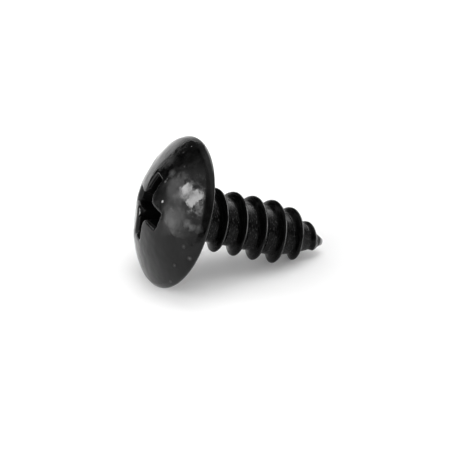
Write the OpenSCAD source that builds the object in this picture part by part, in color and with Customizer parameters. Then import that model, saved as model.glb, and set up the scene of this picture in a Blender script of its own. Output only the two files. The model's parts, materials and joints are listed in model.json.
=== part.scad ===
// Self-tapping screw with a truss head, a cross recess, a coarse rolled thread and a blunt gimlet point.
// One cold-headed piece of steel. It lies on its rim and on the thread near its point, point towards +X.

/* [Head] */
// Diameter of the truss head across its rim
head_d = 9.3; // [7:0.1:14]
// Height of the head from its seat to the crown of the dome
head_h = 2.27; // [1.6:0.01:3.4]
// Height of the rim above the seat, up to the edge of the dome
rim_h = 0.56; // [0.5:0.01:0.9]
// How far the edge of the dome lies inside the rim
rim_inset = 0.17; // [0.05:0.01:0.4]
// Radius that rounds the rim into the seat
rim_round = 0.21; // [0.1:0.01:0.24]

/* [Recess] */
// Span of the cross recess from wing end to wing end, at the height of the crown
recess_span = 4.4; // [3:0.02:5.6]
// Width of a wing at the height of the crown
wing_w = 1.06; // [0.7:0.02:1.5]
// Radius of the four rounded corners between the wings
wing_corner = 0.55; // [0.1:0.05:0.7]
// Depth of the wings below the crown
recess_depth = 1.9; // [1:0.05:2.4]
// Slope of the wing ends from the axis, in degrees
wing_slope = 27; // [20:0.5:32]
// Depth of the cone that the punch leaves below the wings
recess_pit = 0.22; // [0.05:0.01:0.4]
// How far the punch struck off the axis towards the upper side of the resting screw, downwards below zero
recess_up = -0.1; // [-0.3:0.01:0.3]
// How far the punch struck off the axis towards the far side of the resting screw
recess_aside = 0.28; // [-0.3:0.01:0.3]

/* [Neck] */
// Diameter of the plain neck between the head and the thread
neck_d = 3.3; // [3:0.05:3.8]
// Length of the plain neck below the seat
neck_len = 0.62; // [0.5:0.02:1.2]
// Radius of the fillet between the neck and the seat
neck_fillet = 0.35; // [0.3:0.01:0.5]

/* [Thread] */
// Length of the screw from the seat to the tip
screw_len = 9.88; // [8:0.02:30]
// Diameter over the crests of the thread
thread_d = 3.84; // [3.2:0.02:3.98]
// Diameter of the core between the turns
core_d = 2.82; // [2.4:0.02:3.2]
// Distance from one turn to the next
pitch = 1.34; // [1:0.02:2]
// Angle between the two flanks of a turn, in degrees
flank_angle = 60; // [45:1:66]
// Radius of the crest of a turn
crest_round = 0.1; // [0.04:0.01:0.14]
// Radius at the foot of a turn
root_round = 0.15; // [0.05:0.01:0.2]
// Distance from the seat to the crest on the upper side that lies nearest to it
first_crest = 0.8; // [0.6:0.01:1.4]
// Length over which the neck narrows to the core and the thread rises to its full height
run_in = 0.95; // [0.4:0.05:2]

/* [Point] */
// Length over which the screw narrows to its point
point_len = 3.8; // [2.5:0.1:6]
// How late the crests draw in towards the tip: 1 is a straight cone, and more is fuller
crest_curve = 2; // [1.9:0.1:2.6]
// How late the core draws in towards the tip, which is earlier than the crests
core_curve = 1.7; // [1.3:0.1:1.9]
// Diameter of the blunt tip
tip_d = 0.46; // [0.3:0.02:0.9]
// Height of the rounded end of the tip
tip_h = 0.1; // [0.04:0.01:0.25]

/* [Hidden] */

// Facets round the thread, and steps of the small rounds at its two ends
sides = 40;
round_steps = 4;
// How far the shank reaches into the head, and the recess past the crown
overlap = 0.4;
// Share of its depth by which the cone of the recess reaches up into the wings
pit_reach = 1.2;

head_r = head_d / 2;
dome_r = head_r - rim_inset;
dome_h = head_h - rim_h;
ball_r = (dome_r * dome_r + dome_h * dome_h) / (2 * dome_h);
// The band of the rim runs from the edge of the dome to where it meets the round, which it touches smoothly
rim_mid = [head_r - rim_round, rim_round];
rim_edge = [dome_r, rim_h];
rim_reach = rim_edge - rim_mid;
band_turn = atan2(rim_reach[1], rim_reach[0]) - acos(rim_round / norm(rim_reach));
band_foot = rim_mid + rim_round * [cos(band_turn), sin(band_turn)];

thread_top = neck_len + run_in / 3;
thread_end = screw_len - tip_h;
point_start = screw_len - point_len;
thread_h = (thread_d - core_d) / 2;
half_flank = flank_angle / 2;

// Half section of one turn, as distance from its crest and share of its height, from the root to the crest
crest_half = crest_round * cos(half_flank);
crest_drop = crest_round * (1 - sin(half_flank));
foot_half = crest_half + (thread_h - crest_drop) * tan(half_flank);
root_lead = root_round * tan(45 - half_flank / 2);
half_turn = [
    [foot_half + root_lead, 0],
    [foot_half - root_lead * sin(half_flank), root_lead * cos(half_flank) / thread_h],
    [crest_half, 1 - crest_drop / thread_h],
];
crest_row = len(half_turn);
turn_section = concat(
    [for (p = half_turn) [-p[0], p[1]]],
    [[0, 1]],
    [for (k = [crest_row - 1 : -1 : 0]) half_turn[k]]
);
turn_rows = len(turn_section);
first_turn = floor((thread_top - first_crest) / pitch) - 1;
last_turn = ceil((thread_end - first_crest) / pitch);

function clamp(v, low, high) = min(max(v, low), high);
function ease(t) = t * t * (3 - 2 * t);

// Radius at a depth below the seat of what is full_d across and draws in along the point to the tip
function drawn_in(full_d, curve, depth) =
    let (share = clamp((depth - point_start) / (thread_end - point_start), 0, 1))
    tip_d / 2 + (full_d - tip_d) / 2 * (1 - pow(share, curve));
function core_at(depth) = drawn_in(core_d, core_curve, depth);
function rise_at(depth) =
    (drawn_in(thread_d, crest_curve, depth) - core_at(depth)) * ease(clamp((depth - thread_top) / run_in, 0, 1));

// Rows of the shank's skin, each a depth below the seat and a radius: rings round the neck and the tip,
// and between them rows that follow the thread, which sink by one pitch in a turn of the screw
neck_rings = concat(
    [[-overlap, neck_d / 2 + neck_fillet]],
    [for (s = [0 : round_steps])
        neck_fillet * [1 - cos(90 * s / round_steps), 1 - sin(90 * s / round_steps)] + [0, neck_d / 2]],
    [[neck_len, neck_d / 2]]
);
tip_rings = [for (s = [1 : round_steps])
    [thread_end + tip_h * sin(90 * s / round_steps), tip_d / 2 * cos(90 * s / round_steps)]];

function ring(row) = [for (i = [0 : sides - 1]) row];
function thread_row(turn, k) = [for (i = [0 : sides - 1])
    let (wanted = first_crest + pitch * (turn + i / sides) + turn_section[k][0])
    let (depth = clamp(wanted, thread_top, thread_end))
    [depth, core_at(depth) + turn_section[k][1] * rise_at(depth)]];

neck_rows = [for (row = neck_rings) ring(row)];
thread_rows = [for (turn = [first_turn : last_turn], k = [0 : turn_rows - 1]) thread_row(turn, k)];
tip_rows = [for (row = tip_rings) ring(row)];
skin = concat(neck_rows, thread_rows, tip_rows);
thread_first = len(neck_rows);
thread_last = thread_first + len(thread_rows) - 1;

// Points run clockwise seen from the crown, so that the thread is right-handed
function skin_point(p, i) = [p[1] * cos(-360 * i / sides), p[1] * sin(-360 * i / sides), -p[0]];
// A thread row goes on, after a full turn, as the row one pitch further down
function next_row(j) = j < thread_first || j > thread_last ? j : min(j + turn_rows, thread_last);
function skin_index(j, i) = i < sides ? j * sides + i : next_row(j) * sides;

skin_points = [for (row = skin) for (i = [0 : sides - 1]) skin_point(row[i], i)];
skin_faces = concat(
    [[for (i = [0 : sides - 1]) i]],
    [for (j = [0 : len(skin) - 2], i = [0 : sides - 1])
        [skin_index(j, i), skin_index(j + 1, i + 1), skin_index(j, i + 1)]],
    [for (j = [0 : len(skin) - 2], i = [0 : sides - 1])
        [skin_index(j, i), skin_index(j + 1, i), skin_index(j + 1, i + 1)]]
);

// The screw comes to rest on its rim and on the crests near its point: the tilt at which each crest point
// would touch the ground together with the rounded rim, of which the smallest is the one that it takes
function touch_tilt(p) =
    let (across = head_r - rim_round + p[0], along = rim_round - p[2])
    atan2(across, along) + asin(rim_round / norm([across, along]));
crest_points = [for (turn = [first_turn : last_turn])
    let (j = thread_first + (turn - first_turn) * turn_rows + crest_row)
    for (i = [0 : sides - 1]) skin_points[j * sides + i]];
rest_tilt = min([for (p = crest_points) touch_tilt(p)]);
rest_height = (head_r - rim_round) * cos(rest_tilt) - rim_round * sin(rest_tilt) + rim_round;
rest_left = (ball_r - head_h) * cos(rest_tilt) - ball_r;
rest_right = screw_len * cos(rest_tilt);

// Half section of the head: the dome over a steep rim that rounds into the flat seat
module head_section() {
    intersection() {
        translate([0, head_h - ball_r]) circle(r = ball_r, $fn = 240);
        translate([0, rim_h]) square([dome_r, dome_h]);
    }
    polygon([[0, 0], [rim_mid[0], 0], rim_mid, band_foot, rim_edge, [0, rim_h]]);
    translate(rim_mid) circle(r = rim_round, $fn = 48);
}

// Outline of the cross recess at the height of the crown, with the corners between its wings rounded
module recess_outline() {
    offset(r = -wing_corner, $fn = 48) offset(delta = wing_corner) {
        square([recess_span, wing_w], center = true);
        square([wing_w, recess_span], center = true);
    }
}

// The space that the punch leaves: wings that narrow evenly towards the bottom, and a shallow cone below them
module recess() {
    apex = recess_span / 2 / tan(wing_slope);
    floor_share = (apex - recess_depth) / apex;
    mouth_share = (apex + overlap) / apex;
    translate([0, 0, head_h + overlap])
        mirror([0, 0, 1])
            linear_extrude(height = recess_depth + overlap, scale = floor_share / mouth_share)
                scale(mouth_share) recess_outline();
    translate([0, 0, head_h - recess_depth - recess_pit])
        cylinder(h = pit_reach * recess_pit, r1 = 0, r2 = pit_reach * wing_w / 2 * floor_share, $fn = 48);
}

// The whole screw in its resting place, above the middle of its footprint
module screw() {
    color([0.09, 0.09, 0.095])
        translate([-(rest_left + rest_right) / 2, 0, rest_height])
            rotate([0, rest_tilt - 90, 0])
                difference() {
                    union() {
                        rotate_extrude($fn = 120) head_section();
                        polyhedron(points = skin_points, faces = skin_faces, convexity = 10);
                    }
                    translate([recess_up, recess_aside, 0]) recess();
                }
}

screw();
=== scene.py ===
import json
import math

import bmesh
import bpy
import numpy as np
from mathutils import Matrix, Vector, noise


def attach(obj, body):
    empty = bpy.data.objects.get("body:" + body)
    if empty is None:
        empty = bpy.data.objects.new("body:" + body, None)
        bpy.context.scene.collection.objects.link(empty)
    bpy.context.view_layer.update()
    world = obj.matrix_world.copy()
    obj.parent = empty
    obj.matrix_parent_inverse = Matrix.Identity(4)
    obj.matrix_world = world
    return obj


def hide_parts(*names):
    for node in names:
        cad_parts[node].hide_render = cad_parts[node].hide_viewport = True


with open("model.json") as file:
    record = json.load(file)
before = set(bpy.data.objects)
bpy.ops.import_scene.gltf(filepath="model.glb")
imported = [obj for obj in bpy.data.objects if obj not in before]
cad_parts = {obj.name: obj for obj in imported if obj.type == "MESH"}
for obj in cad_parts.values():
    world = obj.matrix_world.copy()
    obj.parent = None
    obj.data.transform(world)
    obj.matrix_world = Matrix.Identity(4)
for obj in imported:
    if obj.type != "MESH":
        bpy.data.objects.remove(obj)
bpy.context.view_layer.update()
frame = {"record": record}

# Head
# The truss head is a low dome on a thin steep rim, flat underneath, with a short plain neck below it.
# It is the end of the steel wire, upset between two dies, so the dome is smooth but not quite even.
# Lengths are in millimetres from the seat: first towards the upper side, then the far side, then the crown.
columns = 192
head_r = 4.65
head_h = 2.27
rim_h = 0.56
dome_r = 4.48
rim_round = 0.21
crease_round = 0.05
neck_r = 1.65
neck_len = 0.62
neck_fillet = 0.35
dome_h = head_h - rim_h
ball_r = (dome_r**2 + dome_h**2) / (2 * dome_h)
# The dome sags a little on the lower far side, where the recess was struck nearest to its edge.
sag_middle = (-1.5, 2.1)
sag_reach = 1.1
sag_depth = 0.1

turn = np.arange(columns) * 2 * math.pi / columns
around = np.stack([np.cos(turn), np.sin(turn)], axis=1)


def row(across, height):
    heights = np.broadcast_to(height, columns)
    return np.column_stack([np.broadcast_to(across, (columns, 2)), heights])


def dome_height(across):
    sag = sag_depth * np.exp(-((across - sag_middle) ** 2).sum(axis=1) / sag_reach**2)
    return head_h - ball_r + np.sqrt(ball_r**2 - (across**2).sum(axis=1)) - sag


def bend(start, corner, end, steps):
    shares = np.linspace(0, 1, steps + 1)
    return [(1 - t) ** 2 * start + 2 * t * (1 - t) * corner + t**2 * end for t in shares]


# The cross recess is struck into the crown by a four-winged punch, a little off the axis.
# The wings narrow evenly towards the bottom, where the punch leaves a shallow cone, and the lip is rounded.
recess_centre = np.array([-0.1, 0.28])
half_span = 2.2
half_wing = 0.53
inner_corner = 0.55
end_corner = 0.12
recess_depth = 1.9
recess_pit = 0.22
wing_angle = 27
apex = half_span / math.tan(math.radians(wing_angle))

corner_mid = half_wing + inner_corner
end_mid = half_span - end_corner
end_half = half_wing - end_corner
wing = [(half_span, end_half * k / 5) for k in range(5)]
for k in range(4):
    a = math.radians(90 * k / 4)
    wing.append((end_mid + end_corner * math.cos(a), end_half + end_corner * math.sin(a)))
wing += [(end_mid + (corner_mid - end_mid) * k / 9, half_wing) for k in range(9)]
for k in range(6):
    a = math.radians(-90 - 90 * k / 12)
    wing.append((corner_mid + inner_corner * math.cos(a), corner_mid + inner_corner * math.sin(a)))
diagonal = corner_mid - inner_corner * math.sqrt(0.5)
quarter = wing + [(diagonal, diagonal)] + [(y, x) for x, y in reversed(wing[1:])]
quarter = np.array(quarter)
outline = np.concatenate([
    quarter,
    quarter[:, ::-1] * (-1, 1),
    -quarter,
    quarter[:, ::-1] * (1, -1),
])
along_outline = np.roll(outline, -1, axis=0) - np.roll(outline, 1, axis=0)
outward = along_outline[:, ::-1] * (1, -1)
outward /= np.linalg.norm(outward, axis=1, keepdims=True)

# The lip of the recess is drawn in further on that lower far side.
least_lip = 0.09
drawn_in = 0.36
lower_far = (-0.72, 0.694)
lip = least_lip + drawn_in * np.clip(outward @ lower_far, 0, 1) ** 2
mouth_share = np.ones(columns)
for _ in range(40):
    mouth = recess_centre + mouth_share[:, None] * outline
    mouth_share = 1 - (head_h - dome_height(mouth)) / apex
floor_share = 1 - recess_depth / apex
wall_share = mouth_share - lip / apex
floor_height = head_h - recess_depth

head_rows = [
    row(recess_centre, floor_height - recess_pit),
    row(recess_centre + half_wing * floor_share * around, floor_height),
]
for t in np.linspace(0, 1, 9)[:-1]:
    share = floor_share + (wall_share - floor_share) * t
    head_rows.append(row(recess_centre + share[:, None] * outline, head_h - (1 - share) * apex))
wall_top = row(recess_centre + wall_share[:, None] * outline, head_h - (1 - wall_share) * apex)
dome_start = mouth + lip[:, None] * outward
recess_faces = len(head_rows) * columns
lip_edge = row(dome_start, dome_height(dome_start))
head_rows += bend(wall_top, row(mouth, dome_height(mouth)), lip_edge, 5)

# The dome carries shallow waves from the die, which break up what it mirrors.
# Each is given by its length and its height.
dome_rows = 44
waves = ((1.1, 0.016), (0.45, 0.01))
dome_edge = (dome_r - crease_round) * around
for k in range(1, dome_rows + 1):
    t = k / dome_rows
    across = dome_start + (dome_edge - dome_start) * t
    settled = min(1, 6 * t, 8 * (1 - t))
    lift = np.zeros(columns)
    for length, height in waves:
        lift += [settled * height * noise.noise(Vector((x, y, 3.1)) / length) for x, y in across]
    head_rows.append(row(across, dome_height(across) + lift))

# The crease where the dome meets the rim, the rim, the flat seat and the fillet into the neck.
rim_mid = np.array([head_r - rim_round, rim_round])
rim_reach = np.array([dome_r, rim_h]) - rim_mid
band_turn = math.atan2(rim_reach[1], rim_reach[0]) - math.acos(rim_round / math.hypot(*rim_reach))
section = []
for k in range(11):
    a = band_turn - (band_turn + math.pi / 2) * k / 10
    section.append(rim_mid + rim_round * np.array([math.cos(a), math.sin(a)]))
band = section[0] - (dome_r, rim_h)
crease_end = np.array([dome_r, rim_h]) + crease_round * band / np.linalg.norm(band)
seat_inner = neck_r + neck_fillet
section += [np.array([r, 0.0]) for r in np.linspace(section[-1][0], seat_inner, 7)[1:]]
for k in range(1, 9):
    a = math.pi / 2 * k / 8
    section.append(np.array([seat_inner - neck_fillet * math.sin(a), -neck_fillet * (1 - math.cos(a))]))
section.append(np.array([neck_r, -neck_len]))
crease_foot = row(crease_end[0] * around, crease_end[1])
head_rows += bend(head_rows[-1], row(dome_r * around, rim_h), crease_foot, 4)[1:]
rim_bulge = 0.012
band_out = np.array([-band[1], band[0]]) / np.linalg.norm(band)
bulge = (crease_end + section[0]) / 2 + rim_bulge * band_out
section = bend(crease_end, bulge, section[0], 4)[1:-1] + section
head_rows += [row(r * around, z) for r, z in section]

head_points = np.concatenate(head_rows)
head_faces = []
for k in range(len(head_rows) - 1):
    for j in range(columns):
        here, beside = k * columns + j, k * columns + (j + 1) % columns
        head_faces.append((here, here + columns, beside + columns, beside))
head_mesh = bpy.data.meshes.new("head")
head_mesh.from_pydata(head_points.tolist(), [], head_faces)
head_mesh.uv_layers.new(name="thread_run")


def add_node(tree, kind, sockets=None, **settings):
    made = tree.nodes.new(kind)
    for name, value in settings.items():
        setattr(made, name, value)
    for key, value in (sockets or {}).items():
        if isinstance(value, bpy.types.NodeSocket):
            tree.links.new(value, made.inputs[key])
        else:
            made.inputs[key].default_value = value
    return made


def linear(hex_colour):
    parts = [int(hex_colour[k : k + 2], 16) / 255 for k in (1, 3, 5)]
    return [p / 12.92 if p <= 0.04045 else ((p + 0.055) / 1.055) ** 2.4 for p in parts] + [1.0]


# Zinc plate under a sealed black chromate: a thin glassy black film with almost no colour of its own.
# It mirrors its surroundings dimly, as black lacquer does, and more brightly at a low angle.
# Ripples, small dents and uneven gloss break up what it mirrors, pale specks lie on it, and wide pale patches
# in its colour are painted mottling of what it mirrors.
sealed_black = bpy.data.materials.new("sealed_black_chromate")
sealed_black.use_nodes = True
tree = sealed_black.node_tree
film = tree.nodes["Principled BSDF"]
film.inputs["IOR"].default_value = 1.3
place = add_node(tree, "ShaderNodeTexCoord").outputs["Object"]
speck = add_node(tree, "ShaderNodeTexVoronoi", {"Vector": place, "Scale": 1000 / 0.8})
speck = add_node(tree, "ShaderNodeMapRange", {
    "Value": speck.outputs["Distance"],
    "From Min": 0.04,
    "From Max": 0.07,
    "To Min": 1.0,
    "To Max": 0.0,
}).outputs["Result"]
cloud = add_node(tree, "ShaderNodeTexNoise", {"Vector": place, "Scale": 1000 / 0.6, "Detail": 5.0})
cloud = add_node(tree, "ShaderNodeMapRange", {
    "Value": cloud.outputs["Fac"], "From Min": 0.35, "From Max": 0.75}).outputs["Result"]
shade = add_node(
    tree, "ShaderNodeMix", {0: cloud, 6: linear("#030303"), 7: linear("#121212")}, data_type="RGBA")
shade = add_node(
    tree, "ShaderNodeMix", {0: speck, 6: shade.outputs[2], 7: linear("#585858")}, data_type="RGBA")

# The larger pale marks, each a place and a radius in millimetres and a strength. The wide ones have ragged
# edges and are painted reflection, mottling of what the film mirrors; the small ones are round specks.
widest_speck = 0.15
fade = 0.0014
ragged_reach = (0.0004, 0.0004, 0.0004)
ragged = add_node(tree, "ShaderNodeTexNoise", {"Vector": place, "Scale": 1000 / 0.3, "Detail": 3.0})
ragged = add_node(
    tree, "ShaderNodeVectorMath", {0: ragged.outputs["Color"], 1: (0.5, 0.5, 0.5)}, operation="SUBTRACT")
ragged_place = add_node(
    tree,
    "ShaderNodeVectorMath",
    {0: ragged.outputs[0], 1: ragged_reach, 2: place},
    operation="MULTIPLY_ADD",
).outputs[0]
for centre, radius, strength in (
    ((-4.829, -1.382, 5.989), 0.075, 1.0),
    ((-3.984, -0.52, 7.3), 0.26, 0.1),
    ((-3.72, 0.654, 7.542), 0.45, 0.07),
    ((-4.376, -0.572, 6.85), 0.09, 0.14),
    ((-2.981, 0.238, 8.171), 0.07, 0.06),
    ((-3.303, -0.915, 7.86), 0.07, 0.06),
    ((-4.366, -3.959, 4.21), 0.1, 0.06),
    ((-4.137, -4.404, 3.593), 0.12, 0.1),
    ((-4.815, -3.639, 2.826), 0.09, 0.07),
    ((-4.928, -3.244, 1.54), 0.1, 0.06),
    ((-3.867, -3.936, 5.397), 0.2, 0.12),
    ((-4.018, -3.64, 5.538), 0.24, 0.11),
    ((-3.541, -4.263, 5.445), 0.24, 0.07),
):
    where = ragged_place if radius > widest_speck else place
    off = add_node(
        tree, "ShaderNodeVectorMath", {0: where, 1: Vector(centre) / 1000}, operation="DISTANCE")
    speck_and_painted_mottle = add_node(tree, "ShaderNodeMapRange", {
        "Value": off.outputs["Value"],
        "From Min": 0.0,
        "From Max": fade * radius,
        "To Min": strength,
        "To Max": 0.0,
    }).outputs["Result"]
    # Each mark lightens the colour: the wide ones are painted reflection, the small ones specks.
    shade = add_node(
        tree, "ShaderNodeMix", {0: speck_and_painted_mottle, 6: shade.outputs[2], 7: linear("#c8c8c8")}, data_type="RGBA")
tree.links.new(shade.outputs[2], film.inputs["Base Color"])
blotch = add_node(tree, "ShaderNodeTexNoise", {"Vector": place, "Scale": 1000 / 0.55, "Detail": 4.0})
gloss = add_node(tree, "ShaderNodeMapRange", {
    "Value": blotch.outputs["Fac"], "From Min": 0.4, "From Max": 0.64, "To Min": 0.07, "To Max": 0.24})
tree.links.new(gloss.outputs["Result"], film.inputs["Roughness"])
grain = add_node(tree, "ShaderNodeTexNoise", {"Vector": place, "Scale": 1000 / 0.34, "Detail": 2.0})
ripple = add_node(
    tree, "ShaderNodeBump", {"Height": grain.outputs["Fac"], "Strength": 1.0, "Distance": 0.000009})
dent = add_node(tree, "ShaderNodeTexVoronoi", {"Vector": place, "Scale": 1000 / 0.75})
bowl = add_node(
    tree,
    "ShaderNodeMapRange",
    {"Value": dent.outputs["Distance"], "From Min": 0.02, "From Max": 0.14},
    interpolation_type="SMOOTHSTEP",
).outputs["Result"]
dents = add_node(tree, "ShaderNodeBump", {
    "Height": bowl, "Normal": ripple.outputs["Normal"], "Strength": 1.0, "Distance": 0.000008})
tree.links.new(dents.outputs["Normal"], film.inputs["Normal"])

# The walls of the recess are sheared by the punch, so the same film lies dull there, and its colour is a
# darker black than the dome's, painted shade for the dark inside of the recess, so that it shows almost
# nothing.
dull_black_painted_shade = bpy.data.materials.new("dull_chromate_painted_shade")
dull_black_painted_shade.use_nodes = True
tree = dull_black_painted_shade.node_tree
film = tree.nodes["Principled BSDF"]
film.inputs["IOR"].default_value = 1.36
film.inputs["Specular IOR Level"].default_value = 0.1
film.inputs["Roughness"].default_value = 0.45
place = add_node(tree, "ShaderNodeTexCoord").outputs["Object"]
shear = add_node(tree, "ShaderNodeTexNoise", {"Vector": place, "Scale": 1000 / 0.25, "Detail": 2.0})
# Painted shade: the recess walls get a darker black than the dome.
shade = add_node(
    tree,
    "ShaderNodeMix",
    {0: shear.outputs["Fac"], 6: linear("#020202"), 7: linear("#070707")},
    data_type="RGBA",
)
tree.links.new(shade.outputs[2], film.inputs["Base Color"])

# The rolled thread has a thinner, rubbed film: a dull grey black, streaked along the turns by the dies. Grey
# flecks at the roots are painted glints, a pale line along the crests is a painted highlight, and the tip is
# pale all round.
rubbed_black = bpy.data.materials.new("rubbed_black_chromate")
rubbed_black.use_nodes = True
tree = rubbed_black.node_tree
film = tree.nodes["Principled BSDF"]
film.inputs["IOR"].default_value = 1.36
film.inputs["Specular IOR Level"].default_value = 0.16
run_map = add_node(tree, "ShaderNodeUVMap", uv_map="thread_run").outputs["UV"]
along = add_node(tree, "ShaderNodeMapping", {"Vector": run_map, "Scale": (1 / 0.7, 1 / 0.06, 1.0)})
streak = add_node(tree, "ShaderNodeTexNoise", {
    "Vector": along.outputs[0], "Scale": 1.0, "Detail": 3.0}).outputs["Fac"]
worn = add_node(tree, "ShaderNodeMapRange", {
    "Value": streak, "From Min": 0.35, "From Max": 0.7}).outputs["Result"]
across = add_node(tree, "ShaderNodeSeparateXYZ", {0: run_map}).outputs["Y"]
across = add_node(tree, "ShaderNodeMath", {0: across}, operation="ABSOLUTE").outputs[0]
# Painted highlight: a pale line along each crest, broken up by the streaks.
painted_crest_highlight = add_node(tree, "ShaderNodeMapRange", {
    "Value": across, "From Min": 0.01, "From Max": 0.035, "To Min": 1.0, "To Max": 0.0}).outputs["Result"]
painted_crest_highlight = add_node(tree, "ShaderNodeMath", {0: painted_crest_highlight, 1: worn}, operation="MULTIPLY").outputs[0]

# The painted crest highlight is made brighter on the upper side of the resting screw, where the light falls
# on it, and a pale spot covers the tip all round.
upper_direction = (0.365, 0.0, 0.931)
tip_place = (0.00589, 0.0, 0.00066)
place = add_node(tree, "ShaderNodeTexCoord").outputs["Object"]
height = add_node(tree, "ShaderNodeVectorMath", {0: place, 1: upper_direction}, operation="DOT_PRODUCT")
lit_upper_side = add_node(tree, "ShaderNodeMapRange", {
    "Value": height.outputs["Value"],
    "From Min": 0.0022,
    "From Max": 0.0038,
    "To Min": 0.3,
    "To Max": 1.2,
}).outputs["Result"]
painted_crest_highlight = add_node(tree, "ShaderNodeMath", {0: painted_crest_highlight, 1: lit_upper_side}, operation="MULTIPLY").outputs[0]
off_tip = add_node(tree, "ShaderNodeVectorMath", {0: place, 1: tip_place}, operation="DISTANCE")
pale_tip = add_node(tree, "ShaderNodeMapRange", {
    "Value": off_tip.outputs["Value"],
    "From Min": 0.0002,
    "From Max": 0.0005,
    "To Min": 1.0,
    "To Max": 0.0,
}).outputs["Result"]

# Painted glints: grey flecks in the roots.
root = add_node(tree, "ShaderNodeMapRange", {
    "Value": across, "From Min": 0.3, "From Max": 0.4}).outputs["Result"]
short = add_node(tree, "ShaderNodeMapping", {"Vector": run_map, "Scale": (1 / 0.25, 1 / 0.08, 1.0)})
painted_root_glint = add_node(tree, "ShaderNodeTexNoise", {
    "Vector": short.outputs[0], "Scale": 1.0, "Detail": 2.0}).outputs["Fac"]
painted_root_glint = add_node(tree, "ShaderNodeMapRange", {
    "Value": painted_root_glint, "From Min": 0.54, "From Max": 0.72}).outputs["Result"]
painted_root_glint = add_node(tree, "ShaderNodeMath", {0: painted_root_glint, 1: root}, operation="MULTIPLY").outputs[0]
# The streaked base, then the painted root glints, the painted crest highlight and the pale tip.
shade = add_node(
    tree, "ShaderNodeMix", {0: worn, 6: linear("#030303"), 7: linear("#0d0d0d")}, data_type="RGBA")
for cover, colour in ((painted_root_glint, "#3c3c3c"), (painted_crest_highlight, "#9a9a9a"), (pale_tip, "#bcbcbc")):
    shade = add_node(
        tree, "ShaderNodeMix", {0: cover, 6: shade.outputs[2], 7: linear(colour)}, data_type="RGBA")
tree.links.new(shade.outputs[2], film.inputs["Base Color"])
gloss = add_node(tree, "ShaderNodeMapRange", {
    "Value": streak, "From Min": 0.3, "From Max": 0.7, "To Min": 0.14, "To Max": 0.34})
tree.links.new(gloss.outputs["Result"], film.inputs["Roughness"])
ridges = add_node(tree, "ShaderNodeBump", {"Height": streak, "Strength": 1.0, "Distance": 0.000008})
tree.links.new(ridges.outputs["Normal"], film.inputs["Normal"])

# Shank
# The shank is rolled between flat dies, which squeeze a coarse right-hand thread up out of the wire.
# The thread rises out of the neck within a turn and draws in to a blunt tip with the core.
shank_len = 9.88
point_len = 3.8
run_in = 0.95
tip_height = 0.1
shank_sizes = {
    "Columns": ("NodeSocketInt", columns),
    "Rows in a turn": ("NodeSocketInt", 36),
    "Turns": ("NodeSocketInt", 10),
    "First turn": ("NodeSocketFloat", -2.0),
    "Neck radius": ("NodeSocketFloat", neck_r),
    "Neck length": ("NodeSocketFloat", neck_len),
    "Core radius": ("NodeSocketFloat", 1.41),
    "Crest radius": ("NodeSocketFloat", 1.92),
    "Pitch": ("NodeSocketFloat", 1.34),
    "First crest": ("NodeSocketFloat", 0.8),
    "Thread start": ("NodeSocketFloat", neck_len + run_in / 3),
    "Run in": ("NodeSocketFloat", run_in),
    "Point start": ("NodeSocketFloat", shank_len - point_len),
    "Thread end": ("NodeSocketFloat", shank_len - tip_height),
    "Crest curve": ("NodeSocketFloat", 2.0),
    "Core curve": ("NodeSocketFloat", 1.7),
    "Tip radius": ("NodeSocketFloat", 0.23),
    "Tip height": ("NodeSocketFloat", tip_height),
    "Finish": ("NodeSocketMaterial", rubbed_black),
}
rolled = bpy.data.node_groups.new("rolled_shank", "GeometryNodeTree")
rolled.interface.new_socket("Shank", in_out="OUTPUT", socket_type="NodeSocketGeometry")
identifiers = {}
for name, (kind, value) in shank_sizes.items():
    identifiers[name] = rolled.interface.new_socket(name, in_out="INPUT", socket_type=kind).identifier
size = add_node(rolled, "NodeGroupInput").outputs

# A sheet of rows that follow the thread: after one turn each row goes on as the row one pitch further down.
columns_round = add_node(rolled, "ShaderNodeMath", {0: size["Columns"], 1: 1.0}, operation="ADD").outputs[0]
rows_long = add_node(
    rolled, "ShaderNodeMath", {0: size["Rows in a turn"], 1: size["Turns"], 2: 1.0}, operation="MULTIPLY_ADD"
).outputs[0]
sheet = add_node(rolled, "GeometryNodeMeshGrid", {
    "Size X": 1.0, "Size Y": 1.0, "Vertices X": columns_round, "Vertices Y": rows_long})
spot = add_node(rolled, "ShaderNodeSeparateXYZ", {0: sheet.outputs["UV Map"]}).outputs
even = add_node(rolled, "ShaderNodeMath", {0: spot["Y"], 1: size["Turns"]}, operation="MULTIPLY").outputs[0]

# Rows are crowded at the crests, where the form is tightest.
crowding = 0.6
swing = add_node(rolled, "ShaderNodeMath", {0: even, 1: 2 * math.pi}, operation="MULTIPLY").outputs[0]
swing = add_node(rolled, "ShaderNodeMath", {0: swing}, operation="SINE").outputs[0]
crowded = add_node(
    rolled, "ShaderNodeMath", {0: swing, 1: -crowding / (2 * math.pi), 2: even}, operation="MULTIPLY_ADD"
).outputs[0]
turns_down = add_node(
    rolled, "ShaderNodeMath", {0: crowded, 1: size["First turn"]}, operation="ADD"
).outputs[0]
sunk = add_node(rolled, "ShaderNodeMath", {0: turns_down, 1: spot["X"]}, operation="ADD").outputs[0]
sunk = add_node(
    rolled, "ShaderNodeMath", {0: sunk, 1: size["Pitch"], 2: size["First crest"]}, operation="MULTIPLY_ADD"
).outputs[0]
depth = add_node(
    rolled, "ShaderNodeClamp", {"Value": sunk, "Min": size["Neck length"], "Max": size["Thread end"]}
).outputs[0]

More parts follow.
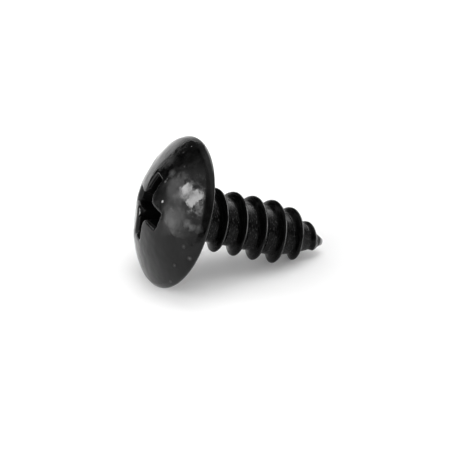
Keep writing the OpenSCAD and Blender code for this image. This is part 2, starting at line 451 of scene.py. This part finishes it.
# The section of a turn, by distance from its crest: a rounded crest, straight flanks and a wide flat root.
whole_turn = add_node(rolled, "ShaderNodeMath", {0: turns_down}, operation="ROUND").outputs[0]
off_crest = add_node(
    rolled, "ShaderNodeMath", {0: turns_down, 1: whole_turn}, operation="SUBTRACT"
).outputs[0]
off_crest = add_node(rolled, "ShaderNodeMath", {0: off_crest}, operation="ABSOLUTE").outputs[0]
off_crest = add_node(rolled, "ShaderNodeMath", {0: off_crest, 1: 2.0}, operation="MULTIPLY").outputs[0]
flank = add_node(rolled, "ShaderNodeFloatCurve", {"Factor": 1.0, "Value": off_crest})
turn_section = [(0, 1), (0.075, 0.965), (0.129, 0.9), (0.44, 0.19), (0.52, 0.07), (0.66, 0), (1, 0)]
curve = flank.mapping.curves[0]
for _ in turn_section[2:]:
    curve.points.new(0.5, 0.5)
for point, place_on_curve in zip(curve.points, turn_section):
    point.location = place_on_curve
    point.handle_type = "AUTO_CLAMPED"
flank.mapping.update()

# Core and crests draw in along the point, and the neck tapers down to the core above the thread.
share = add_node(rolled, "ShaderNodeMapRange", {
    "Value": depth, "From Min": size["Point start"], "From Max": size["Thread end"]}).outputs["Result"]
drawn = []
for full, bow in (("Core radius", "Core curve"), ("Crest radius", "Crest curve")):
    fallen = add_node(rolled, "ShaderNodeMath", {0: share, 1: size[bow]}, operation="POWER").outputs[0]
    drawn.append(add_node(rolled, "ShaderNodeMapRange", {
        "Value": fallen, "To Min": size[full], "To Max": size["Tip radius"]}).outputs["Result"])
core, crest = drawn
run_end = add_node(
    rolled, "ShaderNodeMath", {0: size["Thread start"], 1: size["Run in"]}, operation="ADD"
).outputs[0]
risen = add_node(
    rolled,
    "ShaderNodeMapRange",
    {"Value": depth, "From Min": size["Thread start"], "From Max": run_end},
    interpolation_type="SMOOTHSTEP",
).outputs["Result"]
rise = add_node(rolled, "ShaderNodeMath", {0: crest, 1: core}, operation="SUBTRACT").outputs[0]
rise = add_node(rolled, "ShaderNodeMath", {0: rise, 1: risen}, operation="MULTIPLY").outputs[0]
collar = add_node(
    rolled, "ShaderNodeMath", {0: size["Neck radius"], 1: size["Core radius"]}, operation="SUBTRACT"
)
collar = add_node(rolled, "ShaderNodeMapRange", {
    "Value": depth,
    "From Min": size["Neck length"],
    "From Max": size["Thread start"],
    "To Min": collar.outputs[0],
    "To Max": 0.0,
}).outputs["Result"]
skin = add_node(rolled, "ShaderNodeMath", {0: core, 1: collar}, operation="ADD").outputs[0]
skin = add_node(
    rolled, "ShaderNodeMath", {0: rise, 1: flank.outputs["Value"], 2: skin}, operation="MULTIPLY_ADD"
).outputs[0]

# The round end of the tip is a small sheet of its own, drawn together at its middle.
tip_sheet = add_node(rolled, "GeometryNodeMeshGrid", {
    "Size X": 1.0, "Size Y": 1.0, "Vertices X": columns_round, "Vertices Y": 7})
tip_spot = add_node(rolled, "ShaderNodeSeparateXYZ", {0: tip_sheet.outputs["UV Map"]}).outputs
lean = add_node(rolled, "ShaderNodeMath", {0: tip_spot["Y"], 1: math.pi / 2}, operation="MULTIPLY").outputs[0]
tip_in = add_node(rolled, "ShaderNodeMath", {0: lean}, operation="COSINE").outputs[0]
tip_in = add_node(
    rolled, "ShaderNodeMath", {0: tip_in, 1: size["Tip radius"]}, operation="MULTIPLY"
).outputs[0]
tip_down = add_node(rolled, "ShaderNodeMath", {0: lean}, operation="SINE").outputs[0]
tip_down = add_node(
    rolled,
    "ShaderNodeMath",
    {0: tip_down, 1: size["Tip height"], 2: size["Thread end"]},
    operation="MULTIPLY_ADD",
).outputs[0]

# Both sheets wrap round the axis, clockwise seen from the crown, so that the thread is right-handed.
wrapped = []
for grid, part_turn, radius, sinks in (
    (sheet, spot["X"], skin, depth),
    (tip_sheet, tip_spot["X"], tip_in, tip_down),
):
    angle = add_node(
        rolled, "ShaderNodeMath", {0: part_turn, 1: -2 * math.pi}, operation="MULTIPLY"
    ).outputs[0]
    cosine = add_node(rolled, "ShaderNodeMath", {0: angle}, operation="COSINE").outputs[0]
    sine = add_node(rolled, "ShaderNodeMath", {0: angle}, operation="SINE").outputs[0]
    up = add_node(rolled, "ShaderNodeMath", {0: cosine, 1: radius}, operation="MULTIPLY").outputs[0]
    aside = add_node(rolled, "ShaderNodeMath", {0: sine, 1: radius}, operation="MULTIPLY").outputs[0]
    down = add_node(rolled, "ShaderNodeMath", {0: sinks, 1: -1.0}, operation="MULTIPLY").outputs[0]
    at = add_node(rolled, "ShaderNodeCombineXYZ", {"X": up, "Y": aside, "Z": down}).outputs[0]
    wrapped.append(add_node(rolled, "GeometryNodeSetPosition", {
        "Geometry": grid.outputs["Mesh"], "Position": at}).outputs[0])

# A map that runs along the thread, in millimetres: first with the turns, then across from the crest.
one_turn = 2 * math.pi * 1.6
face_turn = add_node(
    rolled, "GeometryNodeFieldOnDomain", {0: turns_down}, domain="FACE", data_type="FLOAT"
).outputs[0]
face_turn = add_node(rolled, "ShaderNodeMath", {0: face_turn}, operation="ROUND").outputs[0]
run = add_node(rolled, "ShaderNodeMath", {0: spot["X"], 1: face_turn}, operation="ADD").outputs[0]
run = add_node(rolled, "ShaderNodeMath", {0: run, 1: one_turn}, operation="MULTIPLY").outputs[0]
cross = add_node(rolled, "ShaderNodeMath", {0: turns_down, 1: face_turn}, operation="SUBTRACT").outputs[0]
cross = add_node(rolled, "ShaderNodeMath", {0: cross, 1: size["Pitch"]}, operation="MULTIPLY").outputs[0]
thread_run = add_node(rolled, "ShaderNodeCombineXYZ", {"X": run, "Y": cross}).outputs[0]
mapped = add_node(
    rolled,
    "GeometryNodeStoreNamedAttribute",
    {"Geometry": wrapped[0], "Name": "thread_run", "Value": thread_run},
    data_type="FLOAT2",
    domain="CORNER",
).outputs[0]

# Points closer than this are one point, which closes the seams and drops the rows lost in the neck and tip.
weld = 0.0004
whole = add_node(rolled, "GeometryNodeJoinGeometry")
for geometry in (wrapped[1], mapped):
    rolled.links.new(geometry, whole.inputs[0])
closed = add_node(
    rolled, "GeometryNodeMergeByDistance", {"Geometry": whole.outputs[0], "Distance": weld}
).outputs[0]
real = add_node(rolled, "GeometryNodeRealizeInstances", {"Geometry": closed}).outputs[0]
finished = add_node(
    rolled, "GeometryNodeSetMaterial", {"Geometry": real, "Material": size["Finish"]}
).outputs[0]
add_node(rolled, "NodeGroupOutput", {"Shank": finished})

blank = bpy.data.objects.new("shank_blank", bpy.data.meshes.new("shank_blank"))
bpy.context.scene.collection.objects.link(blank)
rolling = blank.modifiers.new("rolling", "NODES")
rolling.node_group = rolled
for name, (kind, value) in shank_sizes.items():
    rolling[identifiers[name]] = value
shank_mesh = bpy.data.meshes.new_from_object(blank.evaluated_get(bpy.context.evaluated_depsgraph_get()))
bpy.data.objects.remove(blank)

# Screw
# Head and shank are one piece of steel, so their skins meet in one ring round the neck.
# The screw lies where its seat is in the record: on its rim and on the thread near the tip.
seat_mount = next(m for m in frame["record"]["mounts"] if m["name"] == "under_head")
crown_up = -Vector(seat_mount["axis"]).normalized()
far_side = Vector((0, 1, 0))
upper_side = far_side.cross(crown_up)
seat = Vector(seat_mount["pos_m"])
lying = Matrix((upper_side, far_side, crown_up)).transposed() * 0.001
lying = Matrix.Translation(seat) @ lying.to_4x4()

joined = bmesh.new()
joined.from_mesh(head_mesh)
joined.from_mesh(shank_mesh)
for number, face in enumerate(joined.faces):
    face.material_index = 1 if number < recess_faces else 0 if number < len(head_faces) else 2
bmesh.ops.remove_doubles(joined, verts=joined.verts[:], dist=weld)
bmesh.ops.dissolve_degenerate(joined, edges=joined.edges[:], dist=1e-6)
bmesh.ops.recalc_face_normals(joined, faces=joined.faces[:])
joined.transform(lying)
screw_mesh = bpy.data.meshes.new("black_screw")
joined.to_mesh(screw_mesh)
joined.free()
screw_mesh.polygons.foreach_set("use_smooth", [True] * len(screw_mesh.polygons))
screw_mesh.set_sharp_from_angle(angle=math.radians(35))
for finish in (sealed_black, dull_black_painted_shade, rubbed_black):
    screw_mesh.materials.append(finish)
screw = bpy.data.objects.new("black_screw", screw_mesh)
bpy.context.scene.collection.objects.link(screw)
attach(screw, "root")
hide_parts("screw")

# Floor
# A sheet of white paper lies flat under the screw and curves up behind it and to the right.
# It glows faintly where it is seen or mirrored, which keeps it white, and still takes the screw's shadow.
paper = bpy.data.materials.new("white_paper_sweep")
paper.use_nodes = True
tree = paper.node_tree
sheet_face = tree.nodes["Principled BSDF"]
sheet_face.inputs["Base Color"].default_value = linear("#f3f3f3")
sheet_face.inputs["Roughness"].default_value = 0.9
sheet_face.inputs["Specular IOR Level"].default_value = 0.0
sheet_face.inputs["Emission Color"].default_value = linear("#ffffff")
ray = add_node(tree, "ShaderNodeLightPath").outputs
seen = ray["Is Camera Ray"]
for kind in ("Is Glossy Ray", "Is Transmission Ray"):
    seen = add_node(tree, "ShaderNodeMath", {0: seen, 1: ray[kind]}, operation="MAXIMUM").outputs[0]
paper_glow = 0.09
glow = add_node(tree, "ShaderNodeMath", {0: seen, 1: paper_glow}, operation="MULTIPLY").outputs[0]
tree.links.new(glow, sheet_face.inputs["Emission Strength"])

half = 1.5
rise_left = -0.2
rise_slant = 1.05
sweep_points = [(-half, -half, 0), (half, -half, 0), (half, half, 0), (-half, half, 0)]
sweep_faces = [(0, 1, 2, 3)]
rise_profile = (
    (0.25, 0.001), (0.34, 0.01), (0.42, 0.03), (0.48, 0.06), (0.52, 0.11), (0.54, 0.18), (0.54, 0.28))
for y, z in rise_profile:
    sweep_points += [(rise_left + rise_slant * z, y, z), (half, y, z)]
for k in range(4, len(sweep_points) - 2, 2):
    sweep_faces.append((k, k + 1, k + 3, k + 2))
sweep_mesh = bpy.data.meshes.new("paper_sweep")
sweep_mesh.from_pydata(sweep_points, [], sweep_faces)
sweep_mesh.polygons.foreach_set("use_smooth", [True] * len(sweep_mesh.polygons))
sweep_mesh.materials.append(paper)
sweep = bpy.data.objects.new("paper_sweep", sweep_mesh)
bpy.context.scene.collection.objects.link(sweep)

# Two cards stand behind, out of the picture, and only change what the screw mirrors.
# One is black. The other is white and lit, a ramp that runs up into a wall, and brighter at its foot.
black_corners = [(-0.036, 0.041, 0), (-0.0185, 0.0508, 0), (-0.0185, 0.0508, 0.06), (-0.036, 0.041, 0.06)]
white_corners = [
    (-0.006, 0.015, 0.0003),
    (0.02, 0.015, 0.0003),
    (-0.0155, 0.052, 0.004),
    (0.03, 0.052, 0.004),
    (-0.0145, 0.0525, 0.0055),
    (0.0104, 0.0535, 0.034),
    (0.03, 0.0525, 0.036),
]
for name, low_glow, high_glow, corners, sides in (
    ("black_card", 0.0, 0.0, black_corners, [(0, 1, 2, 3)]),
    ("white_card", 1.4, 0.85, white_corners, [(0, 1, 3, 2), (2, 3, 6, 5, 4)]),
):
    card_face = bpy.data.materials.new(name)
    card_face.use_nodes = True
    face = card_face.node_tree.nodes["Principled BSDF"].inputs
    face["Base Color"].default_value = linear("#000000")
    face["Roughness"].default_value = 1.0
    face["Specular IOR Level"].default_value = 0.0
    face["Emission Color"].default_value = linear("#ffffff")
    spot = add_node(card_face.node_tree, "ShaderNodeTexCoord").outputs["Object"]
    spot = add_node(card_face.node_tree, "ShaderNodeSeparateXYZ", {0: spot}).outputs["Z"]
    glow = add_node(card_face.node_tree, "ShaderNodeMapRange", {
        "Value": spot,
        "From Min": 0.006,
        "From Max": 0.02,
        "To Min": low_glow,
        "To Max": high_glow,
    }).outputs["Result"]
    card_face.node_tree.links.new(glow, face["Emission Strength"])
    card_mesh = bpy.data.meshes.new(name)
    card_mesh.from_pydata(corners, [], sides)
    card_mesh.materials.append(card_face)
    card = bpy.data.objects.new(name, card_mesh)
    bpy.context.scene.collection.objects.link(card)
    for sight in ("visible_camera", "visible_diffuse", "visible_shadow"):
        setattr(card, sight, False)

# Light
# Four low fills and a softbox overhead light the screw and the paper from all sides, most from the left.
# The two softboxes at the left, a small lamp and dim cards are only there for the black film to mirror.
# The room is dark, with soft glows overhead at the right and along the left.
room = bpy.data.worlds.new("studio")
room.use_nodes = True
tree = room.node_tree
facing = add_node(tree, "ShaderNodeTexCoord").outputs["Generated"]
glows = []
for direction, edge, full, dark, bright in (
    ((0.5, 0.0, 0.866), 0.42, 0.85, 0.07, 0.5),
    ((-0.853, 0.15, 0.5), 0.72, 0.97, 0.0, 0.85),
):
    near = add_node(tree, "ShaderNodeVectorMath", {0: facing, 1: direction}, operation="DOT_PRODUCT")
    glows.append(add_node(
        tree,
        "ShaderNodeMapRange",
        {
            "Value": near.outputs["Value"],
            "From Min": edge,
            "From Max": full,
            "To Min": dark,
            "To Max": bright,
        },
        interpolation_type="SMOOTHSTEP",
    ).outputs["Result"])
for direction, tightness, bright in (
    ((-0.969, 0.206, 0.139), 55.0, 5.8),
    ((-0.97, -0.17, 0.17), 14.0, 0.8),
):
    near = add_node(tree, "ShaderNodeVectorMath", {0: facing, 1: direction}, operation="DOT_PRODUCT")
    near = add_node(
        tree, "ShaderNodeMath", {0: near.outputs["Value"], 1: 0.0}, operation="MAXIMUM").outputs[0]
    near = add_node(tree, "ShaderNodeMath", {0: near, 1: tightness}, operation="POWER").outputs[0]
    glows.append(add_node(tree, "ShaderNodeMath", {0: near, 1: bright}, operation="MULTIPLY").outputs[0])
all_glows = glows[0]
for glow in glows[1:]:
    all_glows = add_node(tree, "ShaderNodeMath", {0: all_glows, 1: glow}, operation="ADD").outputs[0]
tree.nodes["Background"].inputs["Color"].default_value = linear("#ffffff")
tree.links.new(all_glows, tree.nodes["Background"].inputs["Strength"])
bpy.context.scene.world = room
for name, azimuth, elevation, distance, width, height, radiance, mirrored in (
    ("left_softbox", -111, 34, 0.6, 0.103, 0.13, 23.0, True),
    ("left_front_softbox", -92, 36.5, 0.6, 0.135, 0.178, 23.0, True),
    ("small_lamp", -77, 33, 0.6, 0.05, 0.1, 7.0, True),
    ("back_left_card", -126, 26, 0.6, 0.168, 0.15, 2.2, True),
    ("right_card", 125, 28, 0.6, 0.437, 0.277, 4.0, True),
    ("right_ceiling", 90, 58, 0.7, 1.0, 1.0, 0.5, True),
    ("left_fill", -80, 28, 0.6, 0.6, 0.3, 3.6, False),
    ("front_fill", 10, 28, 0.6, 0.6, 0.3, 1.6, False),
    ("right_fill", 100, 28, 0.6, 0.6, 0.3, 1.2, False),
    ("back_fill", 190, 28, 0.6, 0.6, 0.3, 1.2, False),
    ("overhead_softbox", 120, 84, 0.6, 0.4, 0.4, 2.65, False),
):
    lamp = bpy.data.lights.new(name, "AREA")
    lamp.shape = "RECTANGLE"
    lamp.size = width
    lamp.size_y = height
    lamp.energy = radiance * math.pi * width * height
    a, e = math.radians(azimuth), math.radians(elevation)
    toward = Vector((math.sin(a) * math.cos(e), -math.cos(a) * math.cos(e), math.sin(e)))
    softbox = bpy.data.objects.new(name, lamp)
    softbox.visible_glossy = mirrored
    softbox.visible_diffuse = not mirrored
    softbox.location = toward * distance
    softbox.rotation_euler = toward.to_track_quat("Z", "Y").to_euler()
    bpy.context.scene.collection.objects.link(softbox)

# Camera
# A long lens a little above the screw, on the near side and to the left of it, turned a little out of level.
azimuth, elevation = math.radians(-19.383), math.radians(28.782)
level = math.cos(elevation)
back = Vector((math.sin(azimuth) * level, -math.cos(azimuth) * level, math.sin(elevation)))
right = Vector((math.cos(azimuth), math.sin(azimuth), 0))
above = back.cross(right)
aim_right = 0.00276
aim_down = 0.000715
stand_off = 0.25
aim = seat + aim_right * right - aim_down * above
roll = Matrix.Rotation(math.radians(0.68), 3, back)
lens = bpy.data.cameras.new("camera")
picture_width = 450
focal_pixels = 4162.4
lens.sensor_width = 36
lens.lens = lens.sensor_width * focal_pixels / picture_width
lens.clip_start = 0.01
camera = bpy.data.objects.new("camera", lens)
camera.location = aim + stand_off * back
camera.rotation_euler = (roll @ Matrix((right, above, back)).transposed()).to_euler()
bpy.context.scene.collection.objects.link(camera)
bpy.context.scene.camera = camera
bpy.context.scene.view_settings.view_transform = "Standard"
